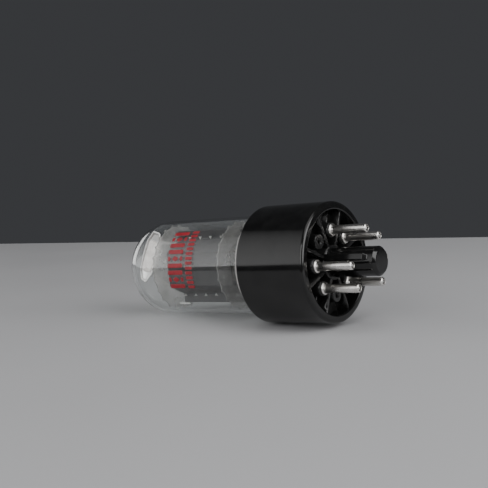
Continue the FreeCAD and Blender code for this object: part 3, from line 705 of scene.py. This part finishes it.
def make_key():
    """The key along the spigot: a rounded section swept along X and sloped down at its tip."""
    section = rounded([(KEY_ROOT_R, -KEY_HALF, 0), (KEY_R, -KEY_HALF, 0.3),
                       (KEY_R, KEY_HALF, 0.3), (KEY_ROOT_R, KEY_HALF, 0)], longest=0.5)
    stations = np.array([RECESS_FLOOR - 0.2, -1, 3, 7, 9.5, 10.2,
                         KEY_SLOPE, 10.6, 10.8, 11.0, 11.2, 11.35, KEY_TIP])
    drop = np.clip((stations - KEY_SLOPE) / (KEY_TIP - KEY_SLOPE), 0, 1)
    reach = 1 - 0.42 * drop
    n = len(section)
    x = np.repeat(stations, n)
    out = (KEY_ROOT_R + (section[None, :, 0] - KEY_ROOT_R) * reach[:, None]).ravel()
    side = (section[None, :, 1] * (1 - 0.25 * drop[:, None])).ravel()
    points = at_angle(np.column_stack([x, out, side]), KEY_ANGLE)
    faces = [grid_faces(len(stations), n), end_faces(len(stations), n)]
    add_piece("spigot_key", points, faces, phenolic)


def make_cement():
    """The cement bead: fills the gap between bulb and base and tapers off along the glass."""
    start, end = cement_low[0], cement_high[0]
    profile = rounded([
        (end, BULB_R - 0.02, 0), (end, BASE_BORE_R, 0), (BASE_END + 0.3, BASE_BORE_R, 0.1),
        (BASE_END - 0.4, BASE_BORE_R - 0.05, 0.4), (start + 0.5, BULB_R + 0.12, 0.3),
        (start, BULB_R + 0.02, 0), (start, BULB_R - 0.02, 0)], longest=1.0)
    points, faces = turned(profile, 160, closed=True)
    add_piece("cement_bead", points, faces, cement_resin(), ["base_cement"])


# ---------------------------------------------------------------- pins

def pin_mesh(angle, seed):
    """A hollow pin: inner bore, rounded open tip, straight shank and rolled collar. Near the tip the
    radius shrinks by about two hundredths, in a slow wave round and along it, as on dipped pins."""
    profile = rounded([
        (PIN_INNER, PIN_BORE_R, 0), (PIN_INNER, PIN_R, 0.1), (BOSS_TOP, PIN_R, 0),
        (BOSS_TOP + 0.02, COLLAR_R, 0.12), (COLLAR_TOP - 0.02, COLLAR_R - 0.1, 0.32),
        (COLLAR_TOP + 0.02, PIN_R + 0.16, 0.1), (COLLAR_TOP + 0.6, PIN_R, 0.4),
        (PIN_TIP, PIN_R, 0.4), (PIN_TIP, PIN_BORE_R, 0.1)], longest=0.5, steps=6)
    points, faces = turned(profile, 64, closed=True)
    x, y, z = points.T
    around = np.arctan2(z, y)
    outside = np.hypot(y, z) > PIN_BORE_R + 0.02
    near_tip = smoothstep((x - (PIN_TIP - TIP_SHRINK_LENGTH)) / 2.4) * outside
    wave = np.sin(2 * around + seed) * np.sin(1.9 * x + 2 * seed)
    wave = wave + 0.5 * np.sin(5 * around - seed + 3 * x)
    scale = 1 - TIP_SHRINK * near_tip * (1 + 0.7 * wave)
    points = np.column_stack([x, y * scale, z * scale])
    return at_angle(points, angle, PIN_CIRCLE_R), faces


def make_pins():
    """Six plated pins and the dished solder in their tips."""
    plugs = []
    for seed, (name, angle) in enumerate(PIN_ANGLES.items()):
        points, faces = pin_mesh(angle, seed * 1.7)
        add_piece("contact_pin_" + name, points, faces, nickel, ["pin_" + name])
        dish = [(PIN_TIP - SOLDER_LENGTH, 0, 0), (PIN_TIP - SOLDER_LENGTH, PIN_BORE_R, 0),
                (PIN_TIP - SOLDER_DISH, PIN_BORE_R, 0.05), (PIN_TIP - SOLDER_DISH + 0.05, 0.42, 0.06),
                (PIN_TIP - 0.12, 0.36, 0.22), (PIN_TIP - 0.05, 0, 0)]
        points, faces = turned(rounded(dish, closed=False, longest=0.4, steps=4), 40)
        plugs.append((at_angle(points, angle, PIN_CIRCLE_R), faces))
    points, faces = joined(plugs)
    add_piece("tip_solder", points, faces, dull_solder(), ["pin_solder"])


# ---------------------------------------------------------------- inside the bulb

def make_anode():
    """Two pressed half shells: the half section offset by the sheet, with rounded bends, along X."""
    for name, facing in (("anode_front", -1), ("anode_rear", 1)):
        bends = [(FLANGE_Z, 0.0), (FLANGE_ROOT_Z, 0.0),
                 (FLANGE_ROOT_Z - STEP_LEAN, STEP_Y), (FACE_Z, FACE_Y)]
        inner = [(y, z) for z, y in bends] + [(y, -z) for z, y in bends[::-1]]
        skin = [(y + SHEET, z) for y, z in inner]
        skin[0] = (SHEET, FLANGE_Z)
        skin[-1] = (SHEET, -FLANGE_Z)
        corners = [(y, z, 0.3 if 0 < k < len(inner) - 1 else 0) for k, (y, z) in enumerate(inner)]
        back = [(y, z, 0.5 if 0 < k < len(skin) - 1 else 0) for k, (y, z) in enumerate(skin)]
        section = rounded(corners + back[::-1], steps=4, longest=0.8)
        section[:, 0] *= facing
        points, faces = swept_section(section, anode_low[0], anode_high[0])
        add_piece(name + "_shell", points, faces, carbon, [name])


def pan_axes():
    """The pan's own directions: along, across and out of its face, at right angles."""
    along = PAN_LONG / np.linalg.norm(PAN_LONG)
    face = PAN_FACE - along * np.dot(PAN_FACE, along)
    face /= np.linalg.norm(face)
    return along, np.cross(face, along), face


def boat(inset, height, half_length=PAN_LENGTH / 2, radius=0.8):
    """The pan's outline set in by a distance, as points at a height: full width in the middle,
    tapered to narrow ends, with rounded corners."""
    a = half_length - inset
    b = PAN_WIDTH / 2 - inset
    end = PAN_END_WIDTH / 2 - inset * 0.8
    shoulder = min(PAN_LENGTH / 2 - PAN_TAPER, a - 0.5)
    size = max(radius - inset * 0.5, 0.15)
    outline = rounded([
        (-a, -end, size), (-shoulder, -b, size * 2), (shoulder, -b, size * 2), (a, -end, size),
        (a, end, size), (shoulder, b, size * 2), (-shoulder, b, size * 2), (-a, end, size)],
        steps=5, longest=100)
    return np.column_stack([outline, np.full(len(outline), height)])


def stacked(rings):
    """Rings of equal length joined in turn; the first and last are filled flat."""
    n = len(rings[0])
    return np.vstack(rings), [grid_faces(len(rings), n), end_faces(len(rings), n)]


def place_on_pan(points):
    """Points in the pan's own directions, moved to its centre: C + u along + v across + w out."""
    along, across, face = pan_axes()
    return PAN_CENTRE + points @ np.array([along, across, face])


def make_getter():
    """The getter pan and its fill, each a stack of inset outlines."""
    pan = [boat(0.75, -PAN_DEPTH), boat(0.62, -PAN_DEPTH + 0.03), boat(0.50, -PAN_DEPTH + 0.18),
           boat(0.46, -0.30), boat(0.40, -0.24), boat(0.08, -0.22), boat(0.0, -0.14), boat(0.0, -0.06),
           boat(0.07, 0.0), boat(0.38, 0.0), boat(0.52, -0.04), boat(0.64, -0.16), boat(0.70, -0.34),
           boat(0.74, -0.70), boat(0.82, -0.81), boat(0.95, -0.85)]
    points, faces = stacked(pan)
    add_piece("getter_tray", place_on_pan(points), faces, getter_nickel, ["getter_pan"])
    half = FILL_LENGTH / 2
    fill = [boat(0.85, -0.84, half + 0.85), boat(0.85, -0.50, half + 0.85),
            boat(0.92, -0.38, half + 0.80), boat(1.10, -0.30, half + 0.75),
            boat(1.30, -0.27, half + 0.7)]
    points, faces = stacked(fill)
    pressed = powder("getter_powder", (0.60, 0.55, 0.53), (0.83, 0.79, 0.77))
    add_piece("getter_powder", place_on_pan(points), faces, pressed, ["getter_fill"])


def mica_mesh(low, high):
    """A toothed disc: the rim radius is a triangle wave round the disc, on slightly bevelled edges."""
    per_tooth = 8
    n = MICA_TEETH * per_tooth
    t = np.arange(n) * 2 * math.pi / n
    phase = (np.arange(n) % per_tooth) / per_tooth
    tooth = np.clip(1 - np.abs(phase - 0.75) / 0.22, 0, 1)
    rim = MICA_R + MICA_TOOTH * tooth
    x0, x1 = low[0], high[0]
    rings = []
    for x, shrink in ((x0, 0.05), (x0 + 0.05, 0), (x1 - 0.05, 0), (x1, 0.05)):
        r = rim - shrink
        rings.append(np.column_stack([np.full(n, x), r * np.cos(t), r * np.sin(t)]))
    return stacked(rings)


def make_micas():
    """The two spacers, each a toothed disc between the faces of its CAD node."""
    for name, low, high in (("bottom_mica", bottom_mica_low, bottom_mica_high),
                            ("top_mica", top_mica_low, top_mica_high)):
        points, faces = mica_mesh(low, high)
        add_piece(name + "_disc", points, faces, mica, [name], smooth=False)


def finish_cad_nodes():
    """Materials for the CAD nodes that stay; whatever isn't named here is lead wire."""
    bright = plain_nickel("bright_nickel", (0.72, 0.71, 0.69))
    lead = plain_nickel("lead_wire", (0.62, 0.58, 0.52), 0.35)
    copper = plain_nickel("copper_rod", (0.66, 0.40, 0.26), 0.3)
    fine_wire = plain_nickel("grid_wire", (0.55, 0.54, 0.52), 0.35)
    oxide = powder("oxide", (0.76, 0.75, 0.72), (0.90, 0.89, 0.86))
    glass = stem_glass()
    materials = {
        "glass_stem": glass, "exhaust_tube": glass,
        "anode_crimps": bright, "anode_rods": bright, "cathode_sleeve": bright, "getter_posts": bright,
        "beam_plate_upper": carbon, "beam_plate_lower": carbon, "cooling_tabs": carbon,
        "screen_grid_rods": copper, "control_grid_rods": copper,
        "screen_grid_wire": fine_wire, "control_grid_wire": fine_wire,
        "cathode_coating": oxide, "heater": oxide}
    for name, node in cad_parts.items():
        if node.hide_render:
            continue
        material = materials.get(name, lead)
        node.data.materials.clear()
        node.data.materials.append(material)


# ---------------------------------------------------------------- floor, light and camera

def make_floor():
    """A plain pale floor under the bulb and the back edge of the base's skirt. It is tilted by the
    angle whose sine is the base's extra radius over the distance between the two contacts, and its
    far edge runs slantwise."""
    contact = np.array([BASE_END, 0, -BASE_R]) * MM
    drop = BASE_R - BULB_R
    tilt = math.asin(drop / (BASE_END - (DOME_TIP + DOME_SHOULDER_R)))
    mesh = bpy.data.meshes.new("floor")
    corners = np.array([[STUDIO_LEFT, STUDIO_NEAR, 0],
                        [STUDIO_RIGHT, STUDIO_NEAR, 0],
                        [STUDIO_RIGHT, STUDIO_FAR, 0]])
    turn = np.array([[math.cos(tilt), 0, math.sin(tilt)],
                     [0, 1, 0],
                     [-math.sin(tilt), 0, math.cos(tilt)]])
    mesh.from_pydata((contact + corners @ turn.T).tolist(), [], [(0, 1, 2)])
    f = Finish("pale_floor", (0.46, 0.46, 0.47), 0.6)
    f.drive("Roughness", f.range(f.noise(18, 5), 0.55, 0.68))
    mesh.materials.append(f.material)
    floor = bpy.data.objects.new("floor", mesh)
    bpy.context.scene.collection.objects.link(floor)


def soft_light(name, place, facing, width, height, power, spread=180.0):
    """A rectangular softbox at a place in metres, shining along a direction."""
    light = bpy.data.lights.new(name, "AREA")
    light.shape = "RECTANGLE"
    light.size = width
    light.size_y = height
    light.energy = power
    light.spread = math.radians(spread)
    lamp = bpy.data.objects.new(name, light)
    lamp.location = place
    lamp.rotation_euler = Vector(facing).to_track_quat("-Z", "Y").to_euler()
    bpy.context.scene.collection.objects.link(lamp)


def make_lights():
    """Five softboxes in a dim room: a wide upright one at the left for the band along the base, a
    small one in front, a strong one at the right for the rim and collars, a weak one beyond the dome
    and one overhead."""
    world = bpy.data.worlds.new("studio")
    world.use_nodes = True
    background = world.node_tree.nodes["Background"]
    background.inputs[0].default_value = (0.90, 0.93, 1.0, 1)
    background.inputs[1].default_value = 0.05
    bpy.context.scene.world = world
    soft_light("band_softbox", (-0.46, -0.41, 0.415), (0.74, 0.67, 0), 1.0, 0.75, 1.7, 112)
    soft_light("front_softbox", (0.10, -0.58, 0.23), (-0.17, 0.92, -0.34), 0.36, 0.38, 1.5)
    soft_light("right_softbox", (0.56, -0.02, 0.26), (-0.89, 0.03, -0.44), 0.50, 0.56, 4.2)
    soft_light("left_strip", (-0.61, 0.15, 0.13), (0.96, -0.25, -0.22), 0.22, 0.30, 0.22)
    soft_light("overhead_softbox", (0.20, -0.12, 0.62), (-0.36, 0.18, -0.92), 0.5, 0.5, 1.1)


def make_camera():
    """The camera, aimed at a point on the tube's axis plane and rolled a little."""
    camera = bpy.data.cameras.new("camera")
    camera.lens = CAMERA_LENS
    camera.sensor_width = 36
    camera.clip_start = 0.01
    camera.clip_end = 50
    roll = math.radians(CAMERA_ROLL)
    forward = CAMERA_AIM - CAMERA_PLACE
    forward /= np.linalg.norm(forward)
    right = np.cross(forward, [0, 0, 1])
    right /= np.linalg.norm(right)
    up = np.cross(right, forward)
    rolled_right = right * math.cos(roll) + up * math.sin(roll)
    rolled_up = up * math.cos(roll) - right * math.sin(roll)
    matrix = np.eye(4)
    matrix[:3] = np.column_stack([rolled_right, rolled_up, -forward, CAMERA_PLACE * MM])
    eye = bpy.data.objects.new("camera", camera)
    eye.matrix_world = Matrix(matrix.tolist())
    bpy.context.scene.collection.objects.link(eye)
    bpy.context.scene.camera = eye


phenolic = black_phenolic("black_phenolic", 0.006)
# The recess floor gets a lighter copy of the phenolic: painted light standing in for fill light that
# does not reach into the recess.
recess_phenolic_painted_light = black_phenolic("recess_phenolic_painted_light", 0.014)
nickel = nickel_plate()
carbon = carbon_grey()
mica = mica_sheet()
getter_nickel = plain_nickel("getter_nickel", (0.86, 0.84, 0.83), 0.36)

make_camera()
make_floor()
make_lights()
make_bulb()
make_print()
make_base_body()
make_base_recess()
make_key()
make_cement()
make_pins()
make_anode()
make_getter()
make_micas()
finish_cad_nodes()
